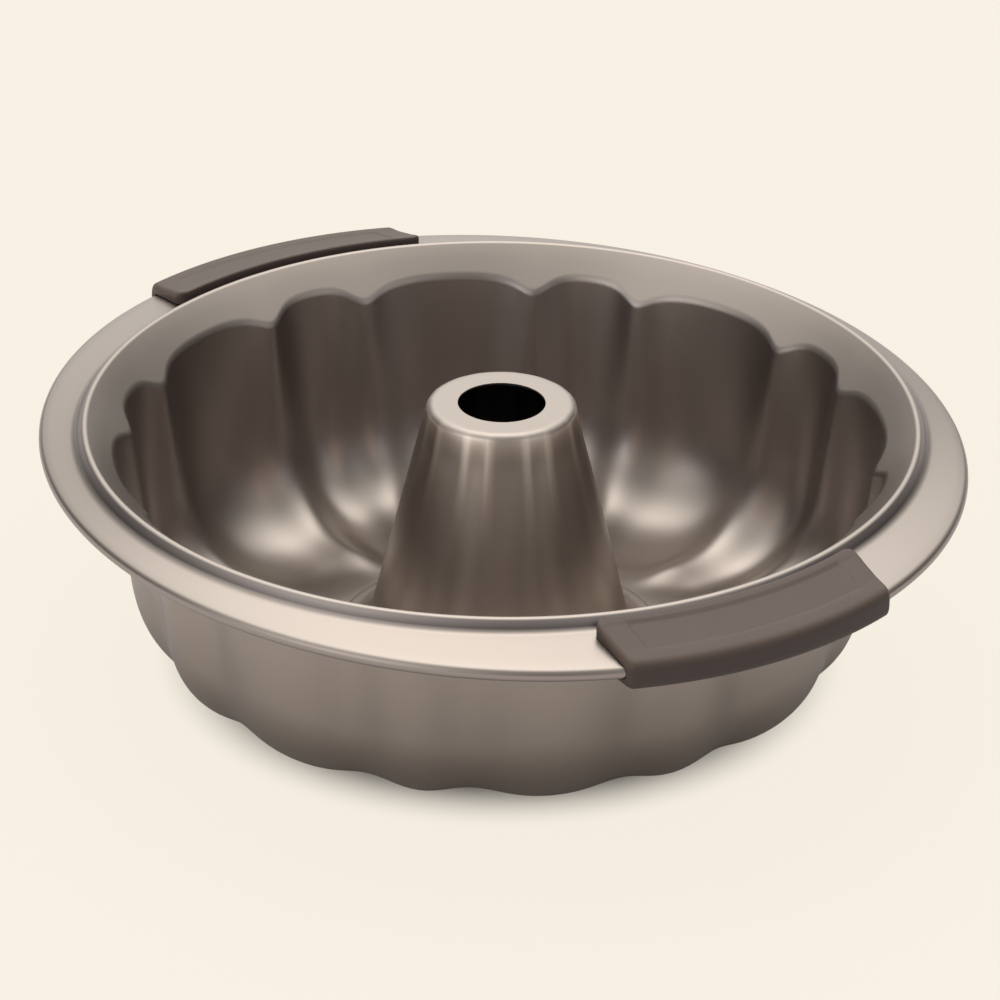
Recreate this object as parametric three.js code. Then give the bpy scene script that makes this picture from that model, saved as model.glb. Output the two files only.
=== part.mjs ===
// Fluted tube pan: a sheet-steel ring mould with broad and narrow lobes in turn, a fluted centre tube,
// a wired rolled edge and two silicone grip sleeves. Millimetres, +Z up.
// The origin is on the table under the tube's axis, and +X runs through the middle of the front grip.

import * as THREE from 'three';

// Sheet and fits
const SHEET = 0.8;
const CLEARANCE = 0.3;
const FOLD_INNER_RADIUS = 0.15;

// Lobes, broad and narrow in turn round the basin and the tube; a higher squareness is a boxier lobe
const LOBE_PAIRS = 8;
const NARROW_LOBE_SPAN = 16.6;
const WALL_SQUARENESS = 2.2;
const FLOOR_SQUARENESS = 1.4;
const FLAT_LOBE_SHARE = 0.71;

// Mouth: bead, riser outside it and shoulder inside it
const BEAD_HEIGHT = 78;
const BEAD_RADIUS = 122;
const BEAD_ROUND = 1.4;
const RISER_RUN = 4.4;
const RISER_DROP = 3;
const RISER_SLOPE = 40;
const SHOULDER_WIDTH = 7.8;
const SHOULDER_SLOPE = 43.5;

// Basin wall and floor, to the middle of the sheet
const FLUTE_DEPTH = 4.4;
const WALL_TAPER = 7.2;
const LOBE_CORNER_RADIUS = 30.6;
const RIDGE_CORNER_RADIUS = 22.6;
const RIDGE_RISE = 4.4;
const STANDING_RING_WIDTH = 10;

// Flange and rolled edge: an oval, widest at the grips
const FLANGE_AT_GRIPS = 17.6;
const FLANGE_AT_SIDES = 6.8;
const RIM_DROP = 6.1;
const WIRE_RADIUS = 0.9;
const ROLL_END_ANGLE = -205;

// Centre tube, with ridges that stand out from its cone
const TUBE_RISE = 4.6;
const TUBE_HOLE_RADIUS = 12.9;
const TUBE_TOP_RADIUS = 22;
const TUBE_EDGE_RADIUS = 2.2;
const TUBE_FILLET_RADIUS = 6.5;
const TUBE_FLUTE_DEPTH = 1.3;
const TUBE_FLUTE_DROP = 14;

// Seam between the tube's foot and the floor
const SEAM_HOLE_RADIUS = 45.5;
const SEAM_LAP = 3;
const LAND_WIDTH = 6;
const LAND_HEIGHT = 5.6;

// Grip sleeves
const GRIP_LENGTH = 90;
const GRIP_TOP = 2.7;
const GRIP_WALL = 2.2;
const GRIP_FLOOR = 2;
const GRIP_ROUND = 2;
const GRIP_LIP_SETBACK = 0.7;
const GRIP_REACH = 10;
const GRIP_END_CHAMFER = 0.9;
const PANEL_END_MARGIN = 7.5;
const PANEL_SIDE_MARGIN = 2.6;
const PANEL_DEPTH = 0.7;
const PANEL_DRAFT = 0.5;

// Facet counts
const BASIN_STEPS = { broad: 6, narrow: 4 };
const TUBE_STEPS = { broad: 4, narrow: 2 };
const WIRE_SIDES = 6;
const GRIP_STEPS = 8;
const RAMP_STEPS = 3;
const ARC_STEPS = { bead: 3, corner: 4, roll: 7, edge: 3, fillet: 4, fold: 3, pocket: 4, round: 2 };

// Sizes that follow from the ones above
const LOBE_TOP_RADIUS = BEAD_RADIUS - SHOULDER_WIDTH;
const RIDGE_TOP_RADIUS = LOBE_TOP_RADIUS - FLUTE_DEPTH;
const RISER_FOOT_RADIUS = BEAD_RADIUS + RISER_RUN;
const RISER_FOOT_HEIGHT = BEAD_HEIGHT - RISER_DROP;
const ROLL_RADIUS = WIRE_RADIUS + CLEARANCE + SHEET;
const ROLL_HALF_LENGTH = RISER_FOOT_RADIUS + FLANGE_AT_GRIPS - ROLL_RADIUS;
const ROLL_HALF_WIDTH = RISER_FOOT_RADIUS + FLANGE_AT_SIDES - ROLL_RADIUS;
const ROLL_HEIGHT = BEAD_HEIGHT - RIM_DROP - ROLL_RADIUS;
const LAND_EDGE_RADIUS = SEAM_HOLE_RADIUS + LAND_WIDTH;
const FOLD_RADIUS = SHEET / 2 + FOLD_INNER_RADIUS;
const SEAM_LEG_HEIGHT = LAND_HEIGHT + SHEET + CLEARANCE;
const SEAM_HEM_HEIGHT = LAND_HEIGHT - SHEET - CLEARANCE;
const TUBE_FOOT_HEIGHT = SEAM_LEG_HEIGHT + 2 * FOLD_RADIUS;
const TUBE_NECK_RADIUS = SEAM_HOLE_RADIUS - CLEARANCE - SHEET / 2;

const steel = new THREE.MeshStandardMaterial({ color: 0x8d8379, roughness: 0.38, metalness: 0.9 });
const wireSteel = new THREE.MeshStandardMaterial({ color: 0x9a9a98, roughness: 0.45, metalness: 1 });
const silicone = new THREE.MeshStandardMaterial({ color: 0x6b635c, roughness: 0.8, metalness: 0 });

const { degToRad, radToDeg, lerp } = THREE.MathUtils;

/** Point of a section: how far out it is and its height. */
const at = (out, height) => new THREE.Vector2(out, height);

/** Points of an arc in a section, in degrees from outwards towards up; stretch widens it outwards. */
function arc(centre, radius, from, to, steps, stretch = 1) {
  const curve = new THREE.EllipseCurve(
    centre.x, centre.y, radius * stretch, radius, degToRad(from), degToRad(to), to < from,
  );
  return curve.getPoints(steps);
}

/** Closed outline of a sheet of the given thickness whose middle follows an open path. */
function sheetOutline(path, thickness) {
  const last = path.length - 1;
  const near = [];
  const far = [];
  path.forEach((point, i) => {
    const ahead = path[Math.min(i + 1, last)].clone().sub(path[Math.min(i, last - 1)]).normalize();
    const behind = path[Math.max(i, 1)].clone().sub(path[Math.max(i - 1, 0)]).normalize();
    const along = ahead.clone().add(behind).normalize();
    const mitre = thickness / 2 / along.dot(ahead);
    const across = at(along.y, -along.x).multiplyScalar(mitre);
    near.push(point.clone().add(across));
    far.push(point.clone().sub(across));
  });
  return [...near, ...far.reverse()];
}

/** Solid through a row of closed sections; a ring joins its last to its first, others get end faces. */
function loft(sections, ring) {
  const rows = sections.length;
  const count = sections[0].points.length;
  const positions = sections.flatMap(({ points, place }) => points.flatMap(place));
  const index = [];
  for (let j = 0; j < (ring ? rows : rows - 1); j += 1) {
    const here = j * count;
    const next = ((j + 1) % rows) * count;
    for (let i = 0; i < count; i += 1) {
      const k = (i + 1) % count;
      index.push(here + i, next + i, next + k, here + i, next + k, here + k);
    }
  }
  if (!ring) {
    const end = (rows - 1) * count;
    THREE.ShapeUtils.triangulateShape(sections[0].points, []).forEach(([a, b, c]) => {
      index.push(a, b, c);
    });
    THREE.ShapeUtils.triangulateShape(sections[rows - 1].points, []).forEach(([a, b, c]) => {
      index.push(end + a, end + c, end + b);
    });
  }
  const geometry = new THREE.BufferGeometry();
  geometry.setAttribute('position', new THREE.Float32BufferAttribute(positions, 3));
  geometry.setIndex(index);
  geometry.computeVertexNormals();
  return geometry;
}

/** Section that stands at an angle round the Z axis. */
function aroundAxis(points, angle) {
  const turn = degToRad(angle);
  return { points, place: (p) => [p.x * Math.cos(turn), p.x * Math.sin(turn), p.y] };
}

/** Section that stands across the Y axis. */
function acrossY(points, y) {
  return { points, place: (p) => [p.x, y, p.y] };
}

/** How far a lobe stands out, from 0 on its ridges to 1 in its middle, at a share of its half width. */
function lobeSwell(share, squareness) {
  return (1 - Math.abs(share) ** squareness) ** (1 / squareness);
}

/** Angles round the pan, each with its share of a lobe: one on every ridge and closer ones beside it. */
function lobeStations(steps) {
  const pitch = 360 / LOBE_PAIRS;
  const lobes = [
    { centre: 0, half: NARROW_LOBE_SPAN / 2, count: steps.narrow },
    { centre: pitch / 2, half: (pitch - NARROW_LOBE_SPAN) / 2, count: steps.broad },
  ];
  const stations = [];
  for (let pair = 0; pair < LOBE_PAIRS; pair += 1) {
    lobes.forEach(({ centre, half, count }) => {
      for (let i = 0; i < count; i += 1) {
        const share = Math.sin((Math.PI / 2) * ((2 * i) / count - 1));
        stations.push({ angle: pair * pitch + centre + share * half, share });
      }
    });
  }
  return stations;
}

/** Middle of the rolled edge in a section at an angle round the pan. */
function rollCentre(angle) {
  const turn = degToRad(angle);
  const reach = Math.hypot(ROLL_HALF_WIDTH * Math.cos(turn), ROLL_HALF_LENGTH * Math.sin(turn));
  return at((ROLL_HALF_LENGTH * ROLL_HALF_WIDTH) / reach, ROLL_HEIGHT);
}

/** Fall of the flange, in degrees, between its riser foot and the middle of its rolled edge. */
function flangeFall(foot, edge) {
  return radToDeg(Math.atan2(RIM_DROP - RISER_DROP, edge - foot));
}

/** Corner of the basin between wall and floor: its centre, its radius and the height of the floor. */
function basinCorner(wallTop, swell) {
  const floor = SHEET / 2 + RIDGE_RISE * (1 - Math.min(1, swell / FLAT_LOBE_SHARE));
  const radius = lerp(RIDGE_CORNER_RADIUS, LOBE_CORNER_RADIUS, swell);
  const taper = degToRad(WALL_TAPER);
  const top = floor + radius * (1 - Math.sin(taper));
  const foot = lerp(RIDGE_TOP_RADIUS, LOBE_TOP_RADIUS, swell) - (wallTop - top) * Math.tan(taper);
  return { centre: at(foot - radius * Math.cos(taper), floor + radius), radius, floor };
}

/** Section of the basin's sheet: land, floor, corner, wall, shoulder, bead, flange and rolled edge. */
function shellSection({ angle, share }) {
  const bead = at(BEAD_RADIUS, BEAD_HEIGHT - BEAD_ROUND);
  const beadArc = arc(bead, BEAD_ROUND - SHEET / 2, 90 + SHOULDER_SLOPE, 90 - RISER_SLOPE, ARC_STEPS.bead);
  const shoulderAt = (out) => beadArc[0].y - (beadArc[0].x - out) * Math.tan(degToRad(SHOULDER_SLOPE));
  const wallTop = lerp(RIDGE_TOP_RADIUS, LOBE_TOP_RADIUS, lobeSwell(share, WALL_SQUARENESS));
  const corner = basinCorner(shoulderAt(wallTop), lobeSwell(share, FLOOR_SQUARENESS));
  const standingRing = basinCorner(shoulderAt(LOBE_TOP_RADIUS), 1).centre.x - STANDING_RING_WIDTH;
  const ramp = [];
  for (let i = 1; i <= RAMP_STEPS; i += 1) {
    const ease = (1 - Math.cos((Math.PI * i) / RAMP_STEPS)) / 2;
    const out = lerp(LAND_EDGE_RADIUS, standingRing, i / RAMP_STEPS);
    ramp.push(at(out, lerp(LAND_HEIGHT, corner.floor, ease)));
  }
  const roll = rollCentre(angle);
  const fall = flangeFall(RISER_FOOT_RADIUS, roll.x);
  const path = [
    at(SEAM_HOLE_RADIUS, LAND_HEIGHT),
    at(LAND_EDGE_RADIUS, LAND_HEIGHT),
    ...ramp,
    ...arc(corner.centre, corner.radius, -90, -WALL_TAPER, ARC_STEPS.corner),
    at(wallTop, shoulderAt(wallTop)),
    ...beadArc,
    at(RISER_FOOT_RADIUS, RISER_FOOT_HEIGHT - SHEET / 2),
    ...arc(roll, ROLL_RADIUS - SHEET / 2, 90 - fall, ROLL_END_ANGLE, ARC_STEPS.roll),
  ];
  return aroundAxis(sheetOutline(path, SHEET), angle);
}

/**
 * Section of the tube's sheet: flat top, rounded edge, cone, fillet, fold over the land, neck and hem.
 * The cone is the straight line that touches both the edge round and the foot fillet.
 * Between its ridges it is drawn in, deepest a little below the edge and less towards the foot.
 */
function tubeSection({ angle, share }) {
  const top = BEAD_HEIGHT + TUBE_RISE - SHEET / 2;
  const edge = at(TUBE_TOP_RADIUS - TUBE_EDGE_RADIUS, top - TUBE_EDGE_RADIUS);
  const fillet = at(SEAM_HOLE_RADIUS + SEAM_LAP / 2, TUBE_FOOT_HEIGHT + TUBE_FILLET_RADIUS);
  const between = fillet.clone().sub(edge);
  const spread = Math.acos((TUBE_EDGE_RADIUS + TUBE_FILLET_RADIUS) / between.length());
  const tilt = radToDeg(Math.atan2(between.y, between.x) + spread);
  const edgeArc = arc(edge, TUBE_EDGE_RADIUS, 90, tilt, ARC_STEPS.edge);
  const filletArc = arc(fillet, TUBE_FILLET_RADIUS, 180 + tilt, 270, ARC_STEPS.fillet);
  const brow = edgeArc.at(-1);
  const flute = brow.clone().lerp(filletArc[0], TUBE_FLUTE_DROP / (brow.y - filletArc[0].y));
  flute.x -= TUBE_FLUTE_DEPTH * lobeSwell(share, WALL_SQUARENESS);
  const fold = at(SEAM_HOLE_RADIUS + SEAM_LAP, SEAM_LEG_HEIGHT + FOLD_RADIUS);
  const path = [
    at(TUBE_HOLE_RADIUS, top),
    ...edgeArc,
    flute,
    ...filletArc,
    ...arc(fold, FOLD_RADIUS, 90, -90, ARC_STEPS.fold),
    at(TUBE_NECK_RADIUS + FOLD_RADIUS, SEAM_LEG_HEIGHT),
    at(TUBE_NECK_RADIUS, SEAM_LEG_HEIGHT - FOLD_RADIUS),
    at(TUBE_NECK_RADIUS, SEAM_HEM_HEIGHT + FOLD_RADIUS),
    at(TUBE_NECK_RADIUS + FOLD_RADIUS, SEAM_HEM_HEIGHT),
    at(SEAM_HOLE_RADIUS + SEAM_LAP, SEAM_HEM_HEIGHT),
  ];
  return aroundAxis(sheetOutline(path, SHEET), angle);
}

/** Section of the stiffening wire in the middle of the rolled edge. */
function wireSection({ angle }) {
  const circle = arc(rollCentre(angle), WIRE_RADIUS, 0, 360, WIRE_SIDES);
  return aroundAxis(circle.slice(0, WIRE_SIDES), angle);
}

/**
 * Section of a grip sleeve: a C that opens towards the pan, over the flange and round the rolled edge.
 * It has no hook behind the edge, so the sleeve pulls straight off.
 * The trim takes the outside in at the ends, and the depth sinks the panel on top.
 */
function gripSection({ y, trim, depth }) {
  const bow = Math.sqrt(1 - (y / ROLL_HALF_WIDTH) ** 2);
  const roll = at(ROLL_HALF_LENGTH * bow, ROLL_HEIGHT);
  const stretch = Math.hypot(1, (ROLL_HALF_LENGTH * y) / (ROLL_HALF_WIDTH ** 2 * bow));
  const riserFoot = Math.sqrt(RISER_FOOT_RADIUS ** 2 - y ** 2);
  const fall = flangeFall(riserFoot, roll.x);
  const pocket = ROLL_RADIUS + CLEARANCE;
  const pocketArc = arc(roll, pocket, 90 - fall, -90, ARC_STEPS.pocket, stretch);
  const lip = riserFoot + GRIP_LIP_SETBACK;
  const pocketTop = (out) => pocketArc[0].y + (pocketArc[0].x - out) * Math.tan(degToRad(fall));
  const faceAt = (out) => pocketTop(out) + (GRIP_TOP - trim) / Math.cos(degToRad(fall));

  const shoulder = roll.x + (pocket + GRIP_WALL - trim - GRIP_ROUND) * stretch;
  const shoulderDrop = GRIP_ROUND / Math.cos(degToRad(fall));
  const faceRound = at(shoulder, faceAt(shoulder) - shoulderDrop);
  const faceArc = arc(faceRound, GRIP_ROUND, 0, 90 - fall, ARC_STEPS.round, stretch);
  const bottom = roll.y - pocket - GRIP_FLOOR + trim;
  const panelOut = faceArc.at(-1).x - PANEL_SIDE_MARGIN;
  const panelIn = lip + PANEL_SIDE_MARGIN;
  const points = [
    at(lip, pocketTop(lip)),
    ...pocketArc,
    at(roll.x - GRIP_REACH, roll.y - pocket),
    at(roll.x - GRIP_REACH, bottom),
    ...arc(at(shoulder, bottom + GRIP_ROUND), GRIP_ROUND, -90, 0, ARC_STEPS.round, stretch),
    ...faceArc,
    at(panelOut, faceAt(panelOut)),
    at(panelOut - PANEL_DRAFT, faceAt(panelOut - PANEL_DRAFT) - depth),
    at(panelIn + PANEL_DRAFT, faceAt(panelIn + PANEL_DRAFT) - depth),
    at(panelIn, faceAt(panelIn)),
    at(lip, faceAt(lip)),
  ];
  return acrossY(points, y);
}

/** Stations along a grip: a chamfered end, the border of the panel and even steps over the panel. */
function gripStations() {
  const end = GRIP_LENGTH / 2;
  const panelEnd = end - PANEL_END_MARGIN;
  const border = [
    { y: end, trim: GRIP_END_CHAMFER, depth: 0 },
    { y: end - GRIP_END_CHAMFER, trim: 0, depth: 0 },
    { y: panelEnd, trim: 0, depth: 0 },
  ];
  const stations = border.map((station) => ({ ...station, y: -station.y }));
  for (let i = 0; i <= GRIP_STEPS; i += 1) {
    const y = (panelEnd - PANEL_DRAFT) * ((2 * i) / GRIP_STEPS - 1);
    stations.push({ y, trim: 0, depth: PANEL_DEPTH });
  }
  return [...stations, ...border.reverse()];
}

/** Named mesh lofted through the section at each station. */
function piece(name, stations, section, material, ring) {
  const mesh = new THREE.Mesh(loft(stations.map(section), ring), material);
  mesh.name = name;
  return mesh;
}

const basinStations = lobeStations(BASIN_STEPS);
const frontGrip = piece('front_grip', gripStations(), gripSection, silicone, false);
const rearGrip = piece('rear_grip', gripStations(), gripSection, silicone, false);
rearGrip.rotation.z = Math.PI;

const pan = new THREE.Group();
pan.add(
  piece('fluted_shell', basinStations, shellSection, steel, true),
  piece('centre_tube', lobeStations(TUBE_STEPS), tubeSection, steel, true),
  piece('rim_wire', basinStations, wireSection, wireSteel, true),
  frontGrip,
  rearGrip,
);

export default pan;
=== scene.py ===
"""Fluted tube pan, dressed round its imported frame: a coated ring mould with a fluted tube and two grips."""

import logging
import math
from dataclasses import dataclass, field
from enum import Enum

import bpy
import numpy as np
from mathutils import Matrix


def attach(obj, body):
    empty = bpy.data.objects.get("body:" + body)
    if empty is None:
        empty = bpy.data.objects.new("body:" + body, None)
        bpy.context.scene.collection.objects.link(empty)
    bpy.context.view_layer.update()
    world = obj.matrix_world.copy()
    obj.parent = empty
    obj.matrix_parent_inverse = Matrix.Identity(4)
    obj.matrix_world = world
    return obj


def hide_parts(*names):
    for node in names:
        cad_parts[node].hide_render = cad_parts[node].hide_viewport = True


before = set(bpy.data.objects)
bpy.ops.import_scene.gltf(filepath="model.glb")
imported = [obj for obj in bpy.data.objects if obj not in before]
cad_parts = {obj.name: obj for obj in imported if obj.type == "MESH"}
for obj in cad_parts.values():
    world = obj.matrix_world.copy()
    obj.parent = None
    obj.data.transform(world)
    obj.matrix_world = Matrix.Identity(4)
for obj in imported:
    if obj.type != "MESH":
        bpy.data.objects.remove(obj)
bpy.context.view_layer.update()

LOG = logging.getLogger("tube_pan")
MM = 0.001
SHARP_EDGE = math.radians(38)
# Name of the point attribute that paints highlights and shade into the finishes' base colour.
PAINTED_LIGHT = "painted_light"
SHEET = 0.8
SEAM_RADIUS = 45.5
LAND_HEIGHT = 2.8
CORNER_DETAIL = 40

Array = np.ndarray


class Slot(Enum):
    """Material slot names of the record, which no piece here uses."""

    COAT = "nonstick_steel"
    SILICONE = "silicone"


class Body(Enum):
    """Bodies of the frame that the pieces ride on."""

    PAN = "pan"
    FRONT_GRIP = "front_grip"
    REAR_GRIP = "rear_grip"


def ease(share: Array) -> Array:
    """Smooth step from 0 to 1: 3t^2 - 2t^3, held at its ends."""
    t = np.clip(share, 0.0, 1.0)
    return t * t * (3.0 - 2.0 * t)


def mix(low: Array | float, high: Array | float, share: Array | float) -> Array | float:
    """Value between two others at a share of the way."""
    return low + (high - low) * share


def points(out: Array, height: Array) -> Array:
    """Section points from distances out and heights, which may be any arrays that broadcast together."""
    return np.stack(np.broadcast_arrays(out, height), axis=-1)


def line(start: Array, end: Array, count: int, first: bool = True) -> Array:
    """Even steps from one section point to another, for every section at once.

    Args:
        start: Section points, one for each section, of shape (sections, 2).
        end: Section points of the same shape.
        count: Number of steps.
        first: Whether the start itself is one of the points.

    Returns:
        Points of shape (sections, steps, 2).
    """
    share = np.linspace(0.0, 1.0, count + 1)[0 if first else 1:]
    return start[:, None, :] + (end - start)[:, None, :] * share[None, :, None]


def arc(centre: Array, radius: Array | float, start: Array | float, end: Array | float, count: int,
        stretch: Array | float = 1.0) -> Array:
    """Arc in every section: centre + radius (stretch cos a, sin a), with the angle a in even steps.

    Args:
        centre: Section points of shape (sections, 2).
        radius: Radius of the arc, one value or one for each section.
        start: First angle in degrees, from outwards towards up.
        end: Last angle in degrees.
        count: Number of steps.
        stretch: How much wider the arc is outwards.

    Returns:
        Points of shape (sections, steps + 1, 2).
    """
    share = np.linspace(0.0, 1.0, count + 1)[None, :]
    column = [np.broadcast_to(np.asarray(v, float), centre.shape[:1])[:, None]
              for v in (radius, start, end, stretch)]
    angle = np.radians(mix(column[1], column[2], share))
    return points(centre[:, :1] + column[0] * column[3] * np.cos(angle),
                  centre[:, 1:] + column[0] * np.sin(angle))


def eased_corner(corner: Array, radius: Array, turn: float, share: float, count: int) -> Array:
    """Corner in every section between a level line and a line that rises from it at an angle.

    Its bend grows and dies away evenly: the slope is the turn times a mix of t and 3t^2 - 2t^3.
    Its middle lies where that of a round of the given radius would.

    Args:
        corner: Section points where the two lines meet.
        radius: Radius of the round that it stands for, one for each section.
        turn: Angle between the lines in degrees.
        share: Share of 3t^2 - 2t^3 in the mix.
        count: Number of steps.

    Returns:
        Points of shape (sections, steps + 1, 2), from the level line outwards.
    """
    fine = CORNER_DETAIL * count
    t = np.linspace(0.0, 1.0, fine + 1)
    slope = math.radians(turn) * mix(t, ease(t), share)
    step = np.stack([np.cos(slope), np.sin(slope)], axis=-1)
    path = np.zeros((fine + 1, 2))
    path[1:] = np.cumsum((step[1:] + step[:-1]) / (2 * fine), axis=0)
    meeting = np.array([path[-1, 0] - path[-1, 1] / math.tan(math.radians(turn)), 0.0])
    gap = np.hypot(*(path[fine // 2] - meeting))
    size = radius * (1 / math.cos(math.radians(turn / 2)) - 1) / gap
    return corner[:, None] + size[:, None, None] * (path[::CORNER_DETAIL] - meeting)[None]


def bend(start: Array, corner: Array, end: Array, count: int) -> Array:
    """Parabola in every section that leaves and reaches its ends towards a corner.

    Its points are (1-t)^2 start + 2t(1-t) corner + t^2 end.

    Args:
        start: Section points of shape (sections, 2).
        corner: Section points where the tangents at both ends meet.
        end: Section points of the same shape.
        count: Number of steps.

    Returns:
        Points of shape (sections, steps + 1, 2).
    """
    t = np.linspace(0.0, 1.0, count + 1)[None, :, None]
    return (1 - t) ** 2 * start[:, None] + 2 * t * (1 - t) * corner[:, None] + t ** 2 * end[:, None]


def rounded(before: Array, corner: Array, after: Array, reach: float, count: int) -> Array:
    """Corner rounded in every section by a parabola.

    Args:
        before: Section points that the corner is reached from.
        corner: Section points of the sharp corner.
        after: Section points that the line goes on to.
        reach: How far from the corner the rounding starts and ends.
        count: Number of steps.

    Returns:
        Points of shape (sections, steps + 1, 2).
    """
    def towards(goal: Array) -> Array:
        """Point at the given reach from the corner, but never past the middle of its side."""
        side = goal - corner
        length = np.linalg.norm(side, axis=-1, keepdims=True)
        return corner + side * np.minimum(reach / length, 0.5)

    return bend(towards(before), corner, towards(after), count)


def make_piece(name: str, places: Array, faces: list, material: bpy.types.Material,
               body: Body, node: str, painted_light: Array | None = None) -> bpy.types.Object:
    """Mesh object at the origin that rides on a body and stands for a node of the frame.

    Args:
        name: Name of the piece.
        places: Points in millimetres, of shape (points, 3).
        faces: Lists of point numbers, one for each face.
        material: Material of the piece.
        body: Body that it moves with.
        node: Node of the frame that it replaces.
        painted_light: Painted highlights and painted shade at each point: how much lighter or darker than its
            finish the piece is painted.

    Returns:
        The new object.
    """
    mesh = bpy.data.meshes.new(name)
    mesh.from_pydata(np.round(places * MM, 7).tolist(), [], faces)
    mesh.polygons.foreach_set("use_smooth", np.ones(len(mesh.polygons), bool))
    mesh.set_sharp_from_angle(angle=SHARP_EDGE)
    if painted_light is not None:
        mesh.attributes.new(PAINTED_LIGHT, "FLOAT", "POINT").data.foreach_set("value", painted_light.ravel())
    mesh.validate()
    piece = bpy.data.objects.new(name, mesh)
    bpy.context.scene.collection.objects.link(piece)
    mesh.materials.append(material)
    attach(piece, body.value)
    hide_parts(node)
    LOG.info("%s: %d faces, rides on %s", name, len(mesh.polygons), body.value)
    return piece


def ring_faces(rows: int, count: int, closed: bool) -> list:
    """Four-sided faces between neighbouring closed sections.

    Args:
        rows: Number of sections.
        count: Number of points in each section.
        closed: Whether the last section joins the first.

    Returns:
        Lists of four point numbers, with the faces' outsides on the left of the sections' turn.
    """
    row = np.arange(rows if closed else rows - 1)[:, None] * count
    after = (row + count) % (rows * count)
    here = np.arange(count)[None, :]
    there = (here + 1) % count
    quads = np.stack(np.broadcast_arrays(row + here, row + there, after + there, after + here), axis=-1)
    return quads.reshape(-1, 4).tolist()


def normals(grid: Array) -> Array:
    """Unit normals of a grid of points that is closed round its rows, up where the rows run outwards."""
    around = np.roll(grid, -1, axis=0) - np.roll(grid, 1, axis=0)
    normal = np.cross(np.gradient(grid, axis=1), around)
    return normal / np.linalg.norm(normal, axis=-1, keepdims=True)


def wrap(inner: Array, outer: Array, thickness: float) -> Array:
    """Closed sheet from two middles, which are the same or nearly so, moved apart along their normals.

    Args:
        inner: Points of shape (sections, steps, 3) for the upper side, closed round the sections.
        outer: Points of the same shape for the under side.
        thickness: Thickness of the sheet.

    Returns:
        Points of shape (sections, 2 * steps, 3): the upper side out, then the under side back.
    """
    upper = inner + normals(inner) * thickness / 2
    under = outer - normals(outer) * thickness / 2
    return np.concatenate([upper, under[:, ::-1]], axis=1)


def turned(section: Array, angle: Array) -> Array:
    """Section points stood round the Z axis: (r cos a, r sin a, z)."""
    turn = np.radians(angle)[:, None]
    out, height = section[..., 0], section[..., 1]
    return np.stack([out * np.cos(turn), out * np.sin(turn), height], axis=-1)


@dataclass(frozen=True)
class Fluting:
    """Broad and narrow lobes in turn round the pan."""

    pairs: int = 8
    narrow_span: float = 16.6
    narrow_swell: float = 1.04
    samples: int = 7200

    def stations(self, broad: int, narrow: int) -> Array:
        """Angles round the pan in degrees, closest on the ridges: centre + half span * sin(even steps)."""
        pitch = 360.0 / self.pairs

        def across(centre: float, half: float, count: int) -> Array:
            """Angles over one lobe, its last ridge left out."""
            return centre + half * np.sin(np.pi / 2 * (2 * np.arange(count) / count - 1))

        lobes = np.concatenate([
            across(0.0, self.narrow_span / 2, narrow),
            across(pitch / 2, (pitch - self.narrow_span) / 2, broad),
        ])
        return (np.arange(self.pairs)[:, None] * pitch + lobes[None, :]).ravel()

    def swell(self, angle: Array, squareness: float, soften: float) -> Array:
        """How far the lobes stand out, 0 on a ridge and 1 in the middle of a broad lobe.

        It is (1 - |u|^q)^(1/q) over each lobe, blurred round the pan so that the ridges are round.

        Args:
            angle: Angles in degrees.
            squareness: The power q: higher is boxier.
            soften: Width of the blur in degrees.

        Returns:
            Swell at each angle.
        """
        pitch = 360.0 / self.pairs
        fine = np.arange(self.samples) * 360.0 / self.samples
        place = (fine + self.narrow_span / 2) % pitch - self.narrow_span / 2
        in_narrow = place < self.narrow_span / 2
        broad_half = (pitch - self.narrow_span) / 2
        share = np.where(in_narrow, place / (self.narrow_span / 2), (place - pitch / 2) / broad_half)
        raw = (1 - np.minimum(np.abs(share), 1) ** squareness) ** (1 / squareness)
        raw *= np.where(in_narrow, self.narrow_swell, 1.0)
        turns = np.fft.rfftfreq(self.samples, 1 / self.samples)
        blur = np.exp(-2 * (np.pi * turns * soften / 360.0) ** 2)
        soft = np.fft.irfft(np.fft.rfft(raw) * blur, self.samples)
        soft = (soft - soft.min()) / (soft.max() - soft.min())
        return np.interp(angle % 360.0, fine, soft, period=360.0)


@dataclass(frozen=True)
class Edge:
    """Oval rolled edge of the flange, and the riser circle that the flange falls from."""

    riser_radius: float = 124.9
    riser_height: float = 74.6
    half_length: float = 142.0
    half_width: float = 131.2
    roll_height: float = 69.9
    roll_radius: float = 2.0

    def centre(self, angle: Array) -> Array:
        """Middle of the roll at each angle: a b / hypot(b cos a, a sin a) out, at one height."""
        turn = np.radians(angle)
        reach = np.hypot(self.half_width * np.cos(turn), self.half_length * np.sin(turn))
        return points(self.half_length * self.half_width / reach, self.roll_height)

    def fall(self, foot: Array, roll: Array) -> Array:
        """Fall of the flange in degrees between its foot and the middle of its roll."""
        drop = self.riser_height - self.roll_height - self.roll_radius
        return np.degrees(np.arctan2(drop, roll - foot))


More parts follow.
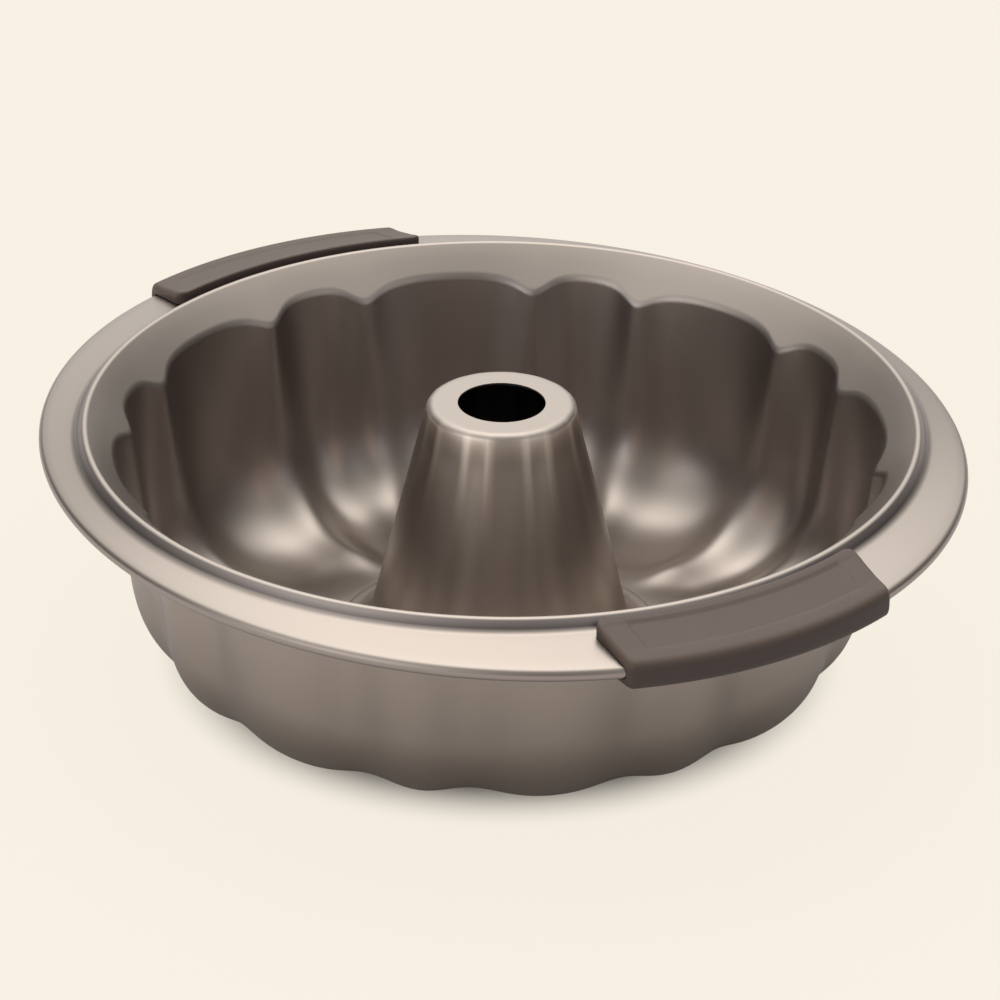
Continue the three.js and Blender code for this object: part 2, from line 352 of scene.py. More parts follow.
@dataclass
class Basin:
    """Pressed basin: floor and wall of lobes, plain shoulder, bead, flange and rolled edge."""

    material: bpy.types.Material
    fluting: Fluting = field(default_factory=Fluting)
    edge: Edge = field(default_factory=Edge)
    sheet: float = SHEET
    hole_radius: float = SEAM_RADIUS
    land_radius: float = 51.5
    land_height: float = LAND_HEIGHT
    standing_width: float = 1.0
    corner_ease: float = 0.7
    ridge_rise: float = 3.8
    lobe_corner: float = 30.6
    inner_ridge: float = 28.5
    outer_ridge: float = 22.6
    taper: float = 7.2
    ridge_radius: float = 109.8
    lobe_radius: float = 114.2
    bead_radius: float = 122.0
    bead_height: float = 78.0
    bead_round: float = 1.4
    shoulder_slope: float = 43.5
    riser_slope: float = 58.0
    riser_round: float = 1.5
    flute_round: float = 1.5
    roll_end: float = -205.0
    wall_squareness: float = 2.9
    floor_squareness: float = 2.5
    inner_soften: tuple[float, float] = (1.5, 3.1)
    outer_soften: tuple[float, float] = (2.8, 4.0)
    # Painted shade: darker steep inner walls below the shoulder, and a darker riser.
    wall_shade_from: float = 0.8
    wall_shade_blend: float = 0.45
    wall_shade_top: float = 73.0
    wall_shade_run: float = 6.0
    riser_shade: float = 1.5
    shade_margin: tuple[float, float] = (0.5, 0.1)
    shade_blend: tuple[float, float] = (0.6, 0.7)
    broad_steps: int = 34
    narrow_steps: int = 20
    corner_steps: int = 30
    ramp_steps: int = 14
    bead_steps: int = 10
    flute_steps: int = 10
    riser_steps: int = 8
    roll_steps: int = 18

    def section(self, angle: Array, soften: tuple[float, float], ridge: float) -> Array:
        """Middle of the sheet in every section, from the edge of the centre hole out to the rolled edge.

        The floor eases down from the land to the lobes, and an eased corner joins it to the tapering wall.
        The wall's top lies on the shoulder's cone, so the shoulder is plain and its lower border scalloped.

        Args:
            angle: Angles of the sections in degrees.
            soften: How much the ridges are blurred at the wall and on the floor, in degrees.
            ridge: Radius of the corner along a ridge.

        Returns:
            Points of shape (sections, steps, 2).
        """
        flat = np.ones_like(angle)
        top = self.fluting.swell(angle, self.wall_squareness, soften[0])
        foot = self.fluting.swell(angle, self.floor_squareness, soften[1])
        bead = arc(points(flat * self.bead_radius, self.bead_height - self.bead_round),
                   self.bead_round - self.sheet / 2, 90 + self.shoulder_slope, 90 - self.riser_slope,
                   self.bead_steps)
        wall_out = mix(self.ridge_radius, self.lobe_radius, top)
        slope = math.tan(math.radians(self.shoulder_slope))
        wall_top = points(wall_out, bead[:, 0, 1] - (bead[:, 0, 0] - wall_out) * slope)

        taper = math.radians(self.taper)
        floor = self.sheet / 2 + self.ridge_rise * (1 - foot)
        radius = mix(ridge, self.lobe_corner, foot)
        foot_height = floor + radius * (1 - math.sin(taper))
        foot_out = mix(self.ridge_radius, self.lobe_radius, foot)
        foot_out = foot_out - (wall_top[:, 1] - foot_height) * math.tan(taper)
        foot_out = foot_out - radius * (math.cos(taper) - math.tan(math.pi / 4 - taper / 2))
        corner = eased_corner(points(foot_out, floor), radius, 90 - self.taper, self.corner_ease,
                              self.corner_steps)

        ramp_end = corner[:, 0, 0].min() - self.standing_width
        share = np.linspace(0, 1, self.ramp_steps + 1)[None, 1:]
        drop = (1 - np.cos(np.pi * share)) / 2
        ramp = points(mix(self.land_radius, ramp_end, share) * flat[:, None],
                      mix(self.land_height, floor[:, None], drop))
        hole = points(flat * self.hole_radius, self.land_height)
        land = points(flat * self.land_radius, self.land_height)

        flute = rounded(corner[:, -1], wall_top, bead[:, 0], self.flute_round, self.flute_steps)
        roll = self.edge.centre(angle)
        fall = self.edge.fall(self.edge.riser_radius, roll[:, 0])
        roll_arc = arc(roll, self.edge.roll_radius - self.sheet / 2, 90 - fall, self.roll_end,
                       self.roll_steps)
        riser = points(flat * self.edge.riser_radius, self.edge.riser_height - self.sheet / 2)
        riser_arc = rounded(bead[:, -1], riser, roll_arc[:, 0], self.riser_round, self.riser_steps)
        return np.concatenate([
            line(hole, land, 2),
            ramp,
            line(ramp[:, -1], corner[:, 0], 2, first=False)[:, :-1],
            corner,
            line(corner[:, -1], flute[:, 0], 5, first=False)[:, :-1],
            flute,
            line(flute[:, -1], bead[:, 0], 2, first=False)[:, :-1],
            bead,
            riser_arc,
            line(riser_arc[:, -1], roll_arc[:, 0], 4, first=False)[:, :-1],
            roll_arc,
        ], axis=1)

    def painted_light(self, inner: Array) -> Array:
        """Painted light of the sheet's two sides: painted shade on the upper side's steep walls and on the
        riser.

        The walls' share grows as the normal's rise falls, and fades out below the shoulder.

        Args:
            inner: Points of shape (sections, steps, 3) of the upper side's middle.

        Returns:
            Painted light values of shape (sections, 2 * steps), in the order of the wrapped sheet.
        """
        out, height = np.hypot(inner[..., 0], inner[..., 1]), inner[..., 2]
        steep = ease((self.wall_shade_from - normals(inner)[..., 2]) / self.wall_shade_blend)
        steep = steep * ease((self.wall_shade_top - height) / self.wall_shade_run)
        beyond = out - self.bead_radius - self.shade_margin[0]
        above = height - self.edge.riser_height - self.shade_margin[1]
        riser = ease(beyond / self.shade_blend[0]) * ease(above / self.shade_blend[1])
        return np.concatenate([-steep - self.riser_shade * riser, np.zeros_like(steep)], axis=1)

    def build(self) -> bpy.types.Object:
        """Build the basin's sheet and return its piece."""
        angle = self.fluting.stations(self.broad_steps, self.narrow_steps)
        inner = turned(self.section(angle, self.inner_soften, self.inner_ridge), angle)
        outer = turned(self.section(angle, self.outer_soften, self.outer_ridge), angle)
        sheet = wrap(inner, outer, self.sheet)
        rows, count = sheet.shape[:2]
        return make_piece("basin", sheet.reshape(-1, 3), ring_faces(rows, count, True),
                          self.material, Body.PAN, "fluted_shell", self.painted_light(inner))


@dataclass
class Tube:
    """Fluted centre tube with a flat open top, a filleted foot, and a fold and hem round the hole's edge."""

    material: bpy.types.Material
    fluting: Fluting = field(default_factory=Fluting)
    sheet: float = SHEET
    top: float = 82.6
    hole_radius: float = 12.9
    top_radius: float = 22.0
    edge_radius: float = 2.2
    fillet_radius: float = 9.0
    seam_radius: float = SEAM_RADIUS
    lap: float = 3.0
    land_height: float = LAND_HEIGHT
    clearance: float = 0.08
    fold_inner: float = 0.15
    turn: float = -3.9
    flute_depth: tuple[float, float] = (0.08, 0.5)
    flute_start: float = 12.0
    flute_run: float = 40.0
    # Painted highlights along the crests and under the top's edge, a slight lift over the rest of the
    # outside, and painted shade in the bore.
    crest_width: float = 0.55
    crest_highlight: float = 0.5
    crest_start: float = 2.4
    skin_tone: float = 0.1
    brow_highlight: float = 0.8
    brow_run: float = 9.0
    bore_shade: float = 1.9
    flute_squareness: float = 2.0
    flute_soften: float = 2.6
    broad_steps: int = 32
    narrow_steps: int = 20
    hole_steps: int = 6
    edge_steps: int = 8
    cone_steps: int = 44
    fillet_steps: int = 10
    fold_steps: int = 8

    def section(self, angle: Array) -> Array:
        """Middle of the sheet in every section, from the edge of the top hole down to the hem.

        The cone touches both the edge round and the foot fillet.
        The flutes draw it in between the ridges, from its edge on, and fade out evenly down the cone.

        Args:
            angle: Angles of the sections in degrees.

        Returns:
            Points of shape (sections, steps, 2).
        """
        flat = np.ones_like(angle)
        fold_radius = self.sheet / 2 + self.fold_inner
        leg = self.land_height + self.sheet + self.clearance
        hem = self.land_height - self.sheet - self.clearance
        neck = self.seam_radius - self.clearance - self.sheet / 2
        top = self.top - self.sheet / 2
        edge = np.array([self.top_radius - self.edge_radius, top - self.edge_radius])
        fillet = np.array([self.seam_radius + self.lap / 2, leg + 2 * fold_radius + self.fillet_radius])
        between = fillet - edge
        spread = math.acos((self.edge_radius + self.fillet_radius) / np.hypot(*between))
        tilt = math.degrees(math.atan2(between[1], between[0]) + spread)
        edge_arc = arc(edge * flat[:, None], self.edge_radius, 90, tilt, self.edge_steps)
        fillet_arc = arc(fillet * flat[:, None], self.fillet_radius, 180 + tilt, 270, self.fillet_steps)
        cone = line(edge_arc[:, -1], fillet_arc[:, 0], self.cone_steps, first=False)[:, :-1]
        skin = np.concatenate([edge_arc, cone], axis=1)
        swell = self.fluting.swell(angle, self.flute_squareness, self.flute_soften)
        down = top - skin[..., 1]
        depth = mix(*self.flute_depth, ease(down / self.flute_start)) * (1 - ease(down / self.flute_run))
        depth = depth * swell[:, None]
        skin = points(skin[..., 0] - depth, skin[..., 1])
        fold = arc(points(flat * (self.seam_radius + self.lap), leg + fold_radius), fold_radius, 90, -90,
                   self.fold_steps)
        plain = np.array([
            [neck + fold_radius, leg], [neck, leg - fold_radius], [neck, hem + fold_radius],
            [neck + fold_radius, hem], [self.seam_radius + self.lap, hem],
        ])
        hole = points(flat * self.hole_radius, top)
        return np.concatenate([
            line(hole, skin[:, 0], self.hole_steps)[:, :-1],
            skin,
            fillet_arc,
            fold,
            plain[None] * flat[:, None, None],
        ], axis=1)

    def painted_light(self, angle: Array, sheet: Array) -> Array:
        """Painted light of the sheet: painted highlights along the crests and under the top's edge, a slight
        lift over the rest of the outside, and painted shade in the bore.

        The crests' share grows as the swell falls to 0, and fades out down the cone.

        Args:
            angle: Angles of the sections in degrees.
            sheet: Points of shape (sections, steps, 3) of the wrapped sheet.

        Returns:
            Painted light values of shape (sections, steps).
        """
        swell = self.fluting.swell(angle, self.flute_squareness, self.flute_soften)
        crest = ease(1 - swell / self.crest_width)
        down = self.top - sheet[..., 2]
        start = ease(down / self.crest_start)
        painted_light = self.crest_highlight * crest[:, None] * start * (1 - ease(down / self.flute_run))
        painted_light += mix(self.brow_highlight, self.skin_tone, ease(down / self.brow_run)) * start
        painted_light[:, sheet.shape[1] // 2:] = -self.bore_shade
        return painted_light

    def build(self) -> bpy.types.Object:
        """Build the tube's sheet and return its piece."""
        angle = self.fluting.stations(self.broad_steps, self.narrow_steps)
        middle = turned(self.section(angle), angle + self.turn)
        sheet = wrap(middle, middle, self.sheet)
        rows, count = sheet.shape[:2]
        return make_piece("tube", sheet.reshape(-1, 3), ring_faces(rows, count, True),
                          self.material, Body.PAN, "centre_tube", self.painted_light(angle, sheet))


@dataclass
class Grip:
    """Silicone sleeve over the flange and round the rolled edge, with a bare sunk panel on top."""

    material: bpy.types.Material
    body: Body
    edge: Edge = field(default_factory=Edge)
    length: float = 86.0
    top: float = 2.7
    wall: float = 2.2
    floor: float = 2.0
    clearance: float = 0.3
    setback: float = 0.7
    reach: float = 10.0
    end_round: float = 1.7
    corner_round: float = 4.2
    outer_round: float = 3.0
    lip_round: float = 1.1
    mouth_round: float = 0.25
    heel_round: float = 0.4
    toe_round: float = 0.8
    panel_round: float = 0.3
    lip_rise: float = 1.4
    lip_run: float = 9.0
    panel_end: float = 7.5
    panel_side: float = 2.6
    panel_depth: float = 0.3
    panel_draft: float = 1.3
    panel_ease: float = 1.1
    end_steps: int = 10
    corner_steps: int = 10
    panel_steps: int = 8
    middle_steps: int = 40

    def stations(self) -> tuple[Array, Array]:
        """Places along the grip, and how far its outside is trimmed there.

        Near an end the trim follows a quarter circle: d = r(1 - cos a), trim = r(1 - sin a).

        Returns:
            Places along Y and trims, each an array.
        """
        half = self.length / 2
        quarter = np.linspace(0, np.pi / 2, self.end_steps + 1)
        end = half - self.end_round * (1 - np.cos(quarter))
        corner = half - np.linspace(self.end_round, self.panel_end, self.corner_steps + 2)[1:-1]
        panel = half - self.panel_end + self.panel_ease * np.linspace(0, -1, self.panel_steps + 1)
        middle = np.linspace(panel[-1], 0, self.middle_steps // 2 + 1)[1:]
        near = np.concatenate([end, corner, panel, middle])
        trim = np.concatenate([self.end_round * (1 - np.sin(quarter)), np.zeros(near.size - end.size)])
        return np.concatenate([-near, near[-2::-1]]), np.concatenate([trim, trim[-2::-1]])

    def section(self, y: Array, trim: Array) -> Array:
        """Outline of the sleeve in every section: a C that opens towards the pan.

        The roll lies at a sqrt(1 - (y/b)^2), and the sleeve's inside follows it and the flange.
        Towards an end the lip draws back along a quarter circle, r - sqrt(r^2 - s^2).

        Args:
            y: Places of the sections along the grip.
            trim: How far the outside is taken in there.

        Returns:
            Points of shape (sections, steps, 2).
        """
        edge = self.edge
        bow = np.sqrt(1 - (y / edge.half_width) ** 2)
        roll = points(edge.half_length * bow, edge.roll_height)
        stretch = np.hypot(1, edge.half_length * y / (edge.half_width ** 2 * bow))
        riser = np.sqrt(edge.riser_radius ** 2 - y ** 2)
        fall = edge.fall(riser, roll[:, 0])
        slope = np.tan(np.radians(fall))
        pocket = edge.roll_radius + self.clearance
        inside = arc(roll, pocket, 90 - fall, -90, 12, stretch)
        short = np.clip(self.corner_round - self.length / 2 + np.abs(y), 0, self.corner_round)
        lip = riser + self.setback + self.corner_round - np.sqrt(self.corner_round ** 2 - short ** 2)

        def under(out: Array) -> Array:
            """Height of the sleeve's inside over the flange."""
            return inside[:, 0, 1] + (inside[:, 0, 0] - out) * slope

        def face(out: Array, depth: Array | float = 0.0) -> Array:
            """Point on the sleeve's top face, which rises towards the lip, sunk by a depth."""
            rise = self.lip_rise * (1 - ease((out - lip) / self.lip_run))
            return points(out, under(out) + (self.top - trim) * np.hypot(1, slope) + rise - depth)

        outer = roll[:, 0] + (pocket + self.wall - trim) * stretch
        bottom = edge.roll_height - pocket - self.floor + trim
        sunk = self.panel_depth * ease((self.length / 2 - self.panel_end - np.abs(y)) / self.panel_ease)
        panel_out = outer - self.outer_round - self.panel_side
        panel_in = lip + self.panel_side
        corners = [
            (points(lip, under(lip)), self.mouth_round, 3),
            (points(roll[:, 0] - self.reach, edge.roll_height - pocket), self.heel_round, 3),
            (points(roll[:, 0] - self.reach, bottom), self.toe_round, 4),
            (points(outer, bottom), self.outer_round, 8),
            (face(outer), self.outer_round, 10),
            (face(panel_out), self.panel_round, 4),
            (face(panel_out - self.panel_draft, sunk), self.panel_round, 4),
            (face(panel_in + self.panel_draft, sunk), self.panel_round, 4),
            (face(panel_in), self.panel_round, 4),
            (face(lip), self.lip_round, 6),
        ]
        rounds = []
        for number, (corner, reach, count) in enumerate(corners):
            before = inside[:, -1] if number == 1 else corners[number - 1][0]
            after = inside[:, 0] if number == 0 else corners[(number + 1) % len(corners)][0]
            rounds.append(rounded(before, corner, after, reach, count))
        return np.concatenate([rounds[0], inside, *rounds[1:]], axis=1)

    def build(self) -> bpy.types.Object:
        """Build the sleeve, with painted shade that darkens it the more its outside turns from level, and
        return its piece.
        """
        y, trim = self.stations()
        section = self.section(y, trim)
        side = -1.0 if self.body is Body.REAR_GRIP else 1.0
        across = np.broadcast_to(y[:, None], section.shape[:2])
        places = np.stack([side * section[..., 0], side * across, section[..., 1]], axis=-1)
        rows, count = places.shape[:2]
        faces = [face[::-1] for face in ring_faces(rows, count, False)]
        faces.append(list(range(count)))
        faces.append(list(range(rows * count - 1, (rows - 1) * count - 1, -1)))
        # Painted shade: 0 on the top face, down to -1 on the sides and underneath.
        run = np.roll(section, -1, axis=1) - np.roll(section, 1, axis=1)
        painted_light = ease(-run[..., 0] / np.maximum(np.hypot(run[..., 0], run[..., 1]), 1e-9)) - 1
        name = "grip_rear" if self.body is Body.REAR_GRIP else "grip_front"
        return make_piece(name, places.reshape(-1, 3), faces, self.material, self.body,
                          self.body.value, painted_light)


class NodeBench:
    """Places and links nodes in one node tree."""

    def __init__(self, tree: bpy.types.NodeTree) -> None:
        """Keep the tree that the nodes go into."""
        self.tree = tree

    def put(self, kind: str, inputs: dict | None = None, **settings: object) -> bpy.types.Node:
        """Make a node, set its properties and set or link its inputs.

        Args:
            kind: Blender's name of the node type.
            inputs: Values, or output sockets to link, by input name or number.
            settings: Properties of the node.

        Returns:
            The new node.
        """
        node = self.tree.nodes.new(kind)
        for key, value in settings.items():
            setattr(node, key, value)
        for key, value in (inputs or {}).items():
            if isinstance(value, bpy.types.NodeSocket):
                self.tree.links.new(value, node.inputs[key])
            else:
                node.inputs[key].default_value = value
        return node


def grain_group() -> bpy.types.NodeTree:
    """Group that gives a fine grain: a mask from a coarse cloud, and a speckle and height from fine noise.

    Returns:
        Node tree with inputs Vector, Cloud Scale and Grain Scale, and outputs Cloud, Speckle and Height.
    """
    tree = bpy.data.node_groups.new("surface_grain", "ShaderNodeTree")
    for name, kind in (("Vector", "NodeSocketVector"), ("Cloud Scale", "NodeSocketFloat"),
                       ("Grain Scale", "NodeSocketFloat")):
        tree.interface.new_socket(name=name, in_out="INPUT", socket_type=kind)
    for name in ("Cloud", "Speckle", "Height"):
        tree.interface.new_socket(name=name, in_out="OUTPUT", socket_type="NodeSocketFloat")
    bench = NodeBench(tree)
    source = bench.put("NodeGroupInput").outputs
    cloud = bench.put("ShaderNodeTexNoise", {"Vector": source["Vector"], "Scale": source["Cloud Scale"],
                                             "Detail": 3.0, "Roughness": 0.55})
    grain = bench.put("ShaderNodeTexNoise", {"Vector": source["Vector"], "Scale": source["Grain Scale"],
                                             "Detail": 2.0, "Roughness": 0.6})
    speckle = bench.put("ShaderNodeMapRange", {"Value": grain.outputs["Fac"], "From Min": 0.35,
                                               "From Max": 0.65})
    bench.put("NodeGroupOutput", {"Cloud": cloud.outputs["Fac"], "Speckle": speckle.outputs["Result"],
                                  "Height": grain.outputs["Fac"]})
    return tree


@dataclass(frozen=True)
class Finish:
    """Material of a piece: two close colours, a roughness range, a grain, and the colour of its painted
    shade.

    A painted light value of 0 is the finish itself, and 1 paints it twice as light. A value of -1 paints it
    in the shade colour, and -2 a tenth of it.
    """

    name: str
    colour: tuple[float, float, float]
    second_colour: tuple[float, float, float]
    roughness: tuple[float, float]
    metallic: float
    specular: float
    cloud_scale: float
    grain_scale: float
    bump: float
    bump_depth: float
    # Colour of the painted shade.
    shade_colour: tuple[float, float, float] = (0.0, 0.0, 0.0)

    def make(self, grain: bpy.types.NodeTree) -> bpy.types.Material:
        """Build the material's nodes.

        Args:
            grain: Node group that gives the grain.

        Returns:
            The new material.
        """
        material = bpy.data.materials.new(self.name)
        material.use_nodes = True
        tree = material.node_tree
        tree.nodes.clear()
        bench = NodeBench(tree)
        place = bench.put("ShaderNodeTexCoord").outputs["Object"]
        field_node = bench.put("ShaderNodeGroup", node_tree=grain)
        tree.links.new(place, field_node.inputs["Vector"])
        field_node.inputs["Cloud Scale"].default_value = self.cloud_scale
        field_node.inputs["Grain Scale"].default_value = self.grain_scale
        colour = bench.put("ShaderNodeMix", {0: field_node.outputs["Cloud"], 6: (*self.colour, 1.0),
                                             7: (*self.second_colour, 1.0)}, data_type="RGBA")
        # Painted light: below 0 the attribute paints shade towards the shade colour, down to a tenth of it at
        # -2; above 0 it paints highlights, up to twice as light at 1.
        painted_light = bench.put("ShaderNodeAttribute", attribute_name=PAINTED_LIGHT).outputs["Fac"]
        depth = bench.put("ShaderNodeMapRange", {"Value": painted_light, "From Min": 0.0, "From Max": -1.0})
        shade = bench.put("ShaderNodeMapRange", {"Value": painted_light, "From Min": -1.0, "From Max": -2.0,
                                                 "To Min": 1.0, "To Max": 0.1})
        lift = bench.put("ShaderNodeMapRange", {"Value": painted_light, "To Min": 1.0, "To Max": 2.0})
        level = bench.put("ShaderNodeMath", {0: shade.outputs["Result"], 1: lift.outputs["Result"]},
                          operation="MULTIPLY")
        shaded = bench.put("ShaderNodeMix", {0: depth.outputs["Result"], 6: colour.outputs[2],
                                           7: (*self.shade_colour, 1.0)}, data_type="RGBA")
        painted_colour = bench.put("ShaderNodeVectorMath", {0: shaded.outputs[2], "Scale": level.outputs["Value"]},
                          operation="SCALE")
        rough = bench.put("ShaderNodeMapRange", {"Value": field_node.outputs["Speckle"],
                                                 "To Min": self.roughness[0], "To Max": self.roughness[1]})
        bump = bench.put("ShaderNodeBump", {"Strength": self.bump, "Distance": self.bump_depth,
                                            "Height": field_node.outputs["Height"]})
        shader = bench.put("ShaderNodeBsdfPrincipled", {
            "Base Color": painted_colour.outputs[0], "Roughness": rough.outputs["Result"],
            "Metallic": self.metallic, "Specular IOR Level": self.specular, "Normal": bump.outputs["Normal"],
        })
        bench.put("ShaderNodeOutputMaterial", {"Surface": shader.outputs["BSDF"]})
        return material


# The last colour of the coat and of the silicone is the colour of their painted shade.
COAT = Finish("nonstick_coat", (0.375, 0.324, 0.281), (0.358, 0.308, 0.266), (0.33, 0.36), 1.0, 0.5,
              14.0, 1600.0, 0.02, 0.0001, (0.332, 0.287, 0.268))
WIRE = Finish("drawn_wire", (0.55, 0.55, 0.54), (0.5, 0.5, 0.49), (0.3, 0.4), 1.0, 0.5,
              60.0, 1500.0, 0.1, 0.0002)
SILICONE = Finish("moulded_silicone", (0.112, 0.077, 0.059), (0.095, 0.064, 0.048), (0.48, 0.56), 0.0, 0.36,
                  30.0, 1400.0, 0.12, 0.0002, (0.058, 0.04, 0.034))


@dataclass(frozen=True)
class PhotoCamera:
    """Camera at the photograph's place, aimed so that the middle of the mouth lands at a given pixel."""

    azimuth: float = 58.5
    elevation: float = 26.72
    distance: float = 1.598
    roll: float = 0.76
    focal_pixels: float = 5451.0
    frame_pixels: float = 1000.0
    aim: tuple[float, float, float] = (0.0, 0.0, 0.078)
    aim_pixel: tuple[float, float] = (501.54, 416.5)

    def away(self) -> Array:
        """Direction from the aim to the camera."""
        azimuth, elevation = math.radians(self.azimuth), math.radians(self.elevation)
        return np.array([math.sin(azimuth) * math.cos(elevation),
                         -math.cos(azimuth) * math.cos(elevation), math.sin(elevation)])

    def axes(self) -> Array:
        """Camera's right, up and forward directions, as rows."""
        azimuth = math.radians(self.azimuth)
        forward = -self.away()
        right = np.array([math.cos(azimuth), math.sin(azimuth), 0.0])
        level = np.stack([right, np.cross(right, forward), forward])
        cos, sin = math.cos(math.radians(self.roll)), math.sin(math.radians(self.roll))
        across = (self.aim_pixel[0] - self.frame_pixels / 2) / self.focal_pixels
        upward = (self.frame_pixels / 2 - self.aim_pixel[1]) / self.focal_pixels
        goal = np.array([cos * across - sin * upward, sin * across + cos * upward, 1.0])
        goal /= np.linalg.norm(goal)
        axis = np.cross([0.0, 0.0, 1.0], goal)
        skew = np.cross(np.eye(3), axis)
        swing = np.eye(3) + skew + skew @ skew / (1 + goal[2])
        aimed = swing @ level
        return np.stack([cos * aimed[0] + sin * aimed[1], cos * aimed[1] - sin * aimed[0], aimed[2]])

    def build(self) -> bpy.types.Object:
        """Make the camera, set it as the scene's and return it."""
        data = bpy.data.cameras.new("photo_camera")
        data.sensor_width = 36.0
        data.lens = self.focal_pixels / self.frame_pixels * data.sensor_width
        data.clip_end = 50.0
        camera = bpy.data.objects.new("photo_camera", data)
        bpy.context.scene.collection.objects.link(camera)
        right, up, forward = self.axes()
        matrix = np.eye(4)
        matrix[:3, 0], matrix[:3, 1], matrix[:3, 2] = right, up, -forward
        matrix[:3, 3] = np.array(self.aim) + self.away() * self.distance
        camera.matrix_world = Matrix(matrix.tolist())
        bpy.context.scene.camera = camera
        return camera


@dataclass(frozen=True)
class Glow:
    """Soft patch of light: its bearing from straight behind the pan, its rise and its strength."""

    bearing: float
    rise: float
    strength: float

    def direction(self, back: float) -> tuple[float, float, float]:
        """Direction of the patch's middle, with the azimuth that lies straight behind the pan given."""
        turn, rise = math.radians(back - self.bearing), math.radians(self.rise)
        return math.sin(turn) * math.cos(rise), -math.cos(turn) * math.cos(rise), math.sin(rise)


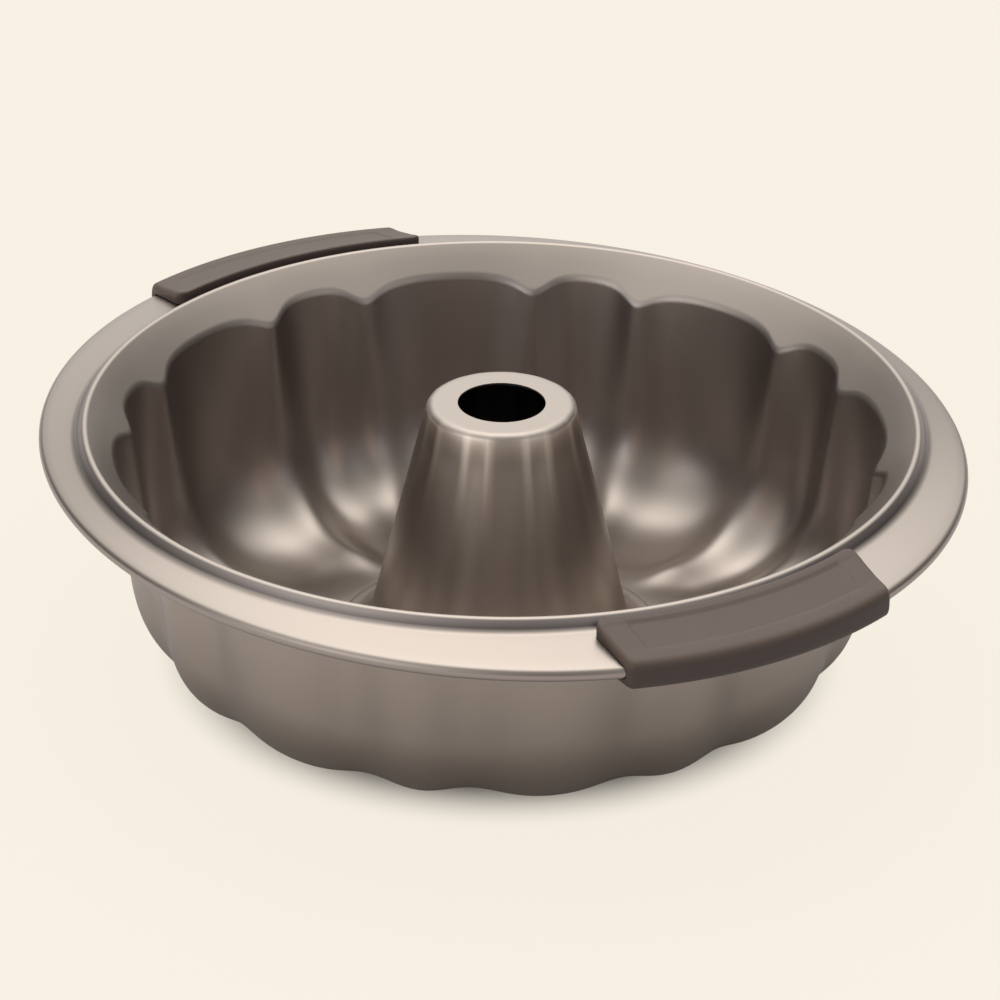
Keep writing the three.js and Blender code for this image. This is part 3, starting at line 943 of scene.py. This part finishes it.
@dataclass
class Studio:
    """Pale floor in soft surroundings: an even light, and glows round and over the pan."""

    backdrop: tuple[float, float, float] = (0.952, 0.893, 0.781)
    mirrored: tuple[float, float, float] = (0.955, 0.9, 0.88)
    floor_colour: tuple[float, float, float] = (0.61, 0.58, 0.56)
    floor_half: float = 6.0
    floor_seen: float = 0.94
    seen_from: tuple[float, float] = (0.075, 0.105)
    mirrored_left: float = 1.0
    mirrored_right: float = 0.45
    mirrored_from: tuple[float, float] = (0.083, 0.205)
    mirrored_blend: float = 0.25
    back: float = 238.5
    glow_focus: float = 8.0
    ambient: float = 0.12
    glows: tuple[Glow, ...] = (
        Glow(0, 8, 0.5), Glow(135, 8, 0.55), Glow(-135, 8, 1.35), Glow(0, 35, 1.04), Glow(135, 35, 0.3),
        Glow(-135, 35, 0.62), Glow(0, 62, 1.18), Glow(60, 62, 1.08), Glow(-60, 62, 1.36), Glow(0, 90, 0.55),
    )

    def floor_material(self) -> bpy.types.Material:
        """Make the floor's matt material, which shows the camera and the metal a pale colour round the pan.

        Returns:
            The new material.
        """
        material = bpy.data.materials.new("studio_floor")
        material.use_nodes = True
        tree = material.node_tree
        tree.nodes.clear()
        bench = NodeBench(tree)
        place = bench.put("ShaderNodeTexCoord").outputs["Object"]
        out = bench.put("ShaderNodeVectorMath", {0: place}, operation="LENGTH").outputs["Value"]
        ray = bench.put("ShaderNodeLightPath").outputs

        def ramp(value: bpy.types.NodeSocket, border: tuple[float, float],
                 ends: tuple[float, float]) -> bpy.types.NodeSocket:
            """Smooth step between two borders, from one end value to the other."""
            return bench.put("ShaderNodeMapRange", {
                "Value": value, "From Min": border[0], "From Max": border[1],
                "To Min": ends[0], "To Max": ends[1],
            }, interpolation_type="SMOOTHSTEP").outputs["Result"]

        def times(first: bpy.types.NodeSocket, second: bpy.types.NodeSocket) -> bpy.types.NodeSocket:
            """Product of two values."""
            return bench.put("ShaderNodeMath", {0: first, 1: second}, operation="MULTIPLY").outputs[0]

        left = bench.put("ShaderNodeVectorMath", {0: place, 1: Glow(-90, 0, 0).direction(self.back)},
                         operation="DOT_PRODUCT").outputs["Value"]
        side = ramp(left, (-self.mirrored_blend, self.mirrored_blend),
                    (self.mirrored_right, self.mirrored_left))
        other = bench.put("ShaderNodeMath", {0: ray["Is Glossy Ray"], 1: ray["Is Transmission Ray"]},
                          operation="MAXIMUM")
        total = bench.put("ShaderNodeMath", {
            0: times(ray["Is Camera Ray"], ramp(out, self.seen_from, (0.0, self.floor_seen))),
            1: times(other.outputs[0], times(side, ramp(out, self.mirrored_from, (0.0, 1.0)))),
        }, operation="ADD")
        matt = bench.put("ShaderNodeBsdfDiffuse", {"Color": (*self.floor_colour, 1.0)})
        shown = bench.put("ShaderNodeMix", {0: ray["Is Camera Ray"], 6: (*self.mirrored, 1.0),
                                            7: (*self.backdrop, 1.0)}, data_type="RGBA")
        plain = bench.put("ShaderNodeEmission", {"Color": shown.outputs[2]})
        shader = bench.put("ShaderNodeMixShader", {0: total.outputs[0], 1: matt.outputs[0],
                                                   2: plain.outputs[0]})
        bench.put("ShaderNodeOutputMaterial", {"Surface": shader.outputs[0]})
        return material

    def world(self) -> bpy.types.World:
        """Make the surroundings: an even light and the sum of the glows, each strength * c^focus.

        Here c is the cosine of the angle from the glow's middle, and no less than 0.

        Returns:
            The new world, which shows the camera the backdrop's colour.
        """
        world = bpy.data.worlds.new("studio")
        world.use_nodes = True
        tree = world.node_tree
        tree.nodes.clear()
        bench = NodeBench(tree)
        ahead = bench.put("ShaderNodeTexCoord").outputs["Generated"]
        strength: bpy.types.NodeSocket | float = self.ambient
        for glow in self.glows:
            cosine = bench.put("ShaderNodeVectorMath", {0: ahead, 1: glow.direction(self.back)},
                               operation="DOT_PRODUCT")
            front = bench.put("ShaderNodeMath", {0: cosine.outputs["Value"], 1: 0.0}, operation="MAXIMUM")
            patch = bench.put("ShaderNodeMath", {0: front.outputs[0], 1: self.glow_focus}, operation="POWER")
            strength = bench.put("ShaderNodeMath", {0: patch.outputs[0], 1: glow.strength, 2: strength},
                                 operation="MULTIPLY_ADD").outputs[0]
        light = bench.put("ShaderNodeBackground", {"Strength": strength, "Color": (1.0, 1.0, 1.0, 1.0)})
        plain = bench.put("ShaderNodeBackground", {"Color": (*self.backdrop, 1.0)})
        ray = bench.put("ShaderNodeLightPath").outputs
        shader = bench.put("ShaderNodeMixShader", {0: ray["Is Camera Ray"], 1: light.outputs[0],
                                                   2: plain.outputs[0]})
        bench.put("ShaderNodeOutputWorld", {"Surface": shader.outputs[0]})
        return world

    def build(self) -> None:
        """Make the floor and the world."""
        mesh = bpy.data.meshes.new("studio_floor")
        half = self.floor_half
        mesh.from_pydata([(-half, -half, 0), (half, -half, 0), (half, half, 0), (-half, half, 0)], [],
                         [(0, 1, 2, 3)])
        mesh.materials.append(self.floor_material())
        floor = bpy.data.objects.new("studio_floor", mesh)
        bpy.context.scene.collection.objects.link(floor)
        bpy.context.scene.world = self.world()
        bpy.context.scene.view_settings.view_transform = "Standard"


def main() -> None:
    """Build the pan's pieces, the camera and the studio in order."""
    logging.basicConfig(level=logging.INFO, format="%(name)s: %(message)s")
    PhotoCamera().build()
    grain = grain_group()
    coat = COAT.make(grain)
    silicone = SILICONE.make(grain)
    Basin(coat).build()
    Tube(coat).build()
    for body in (Body.FRONT_GRIP, Body.REAR_GRIP):
        Grip(silicone, body).build()
    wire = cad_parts["rim_wire"]
    wire.data.materials.clear()
    wire.data.materials.append(WIRE.make(grain))
    Studio().build()


if __name__ == "__main__":
    main()
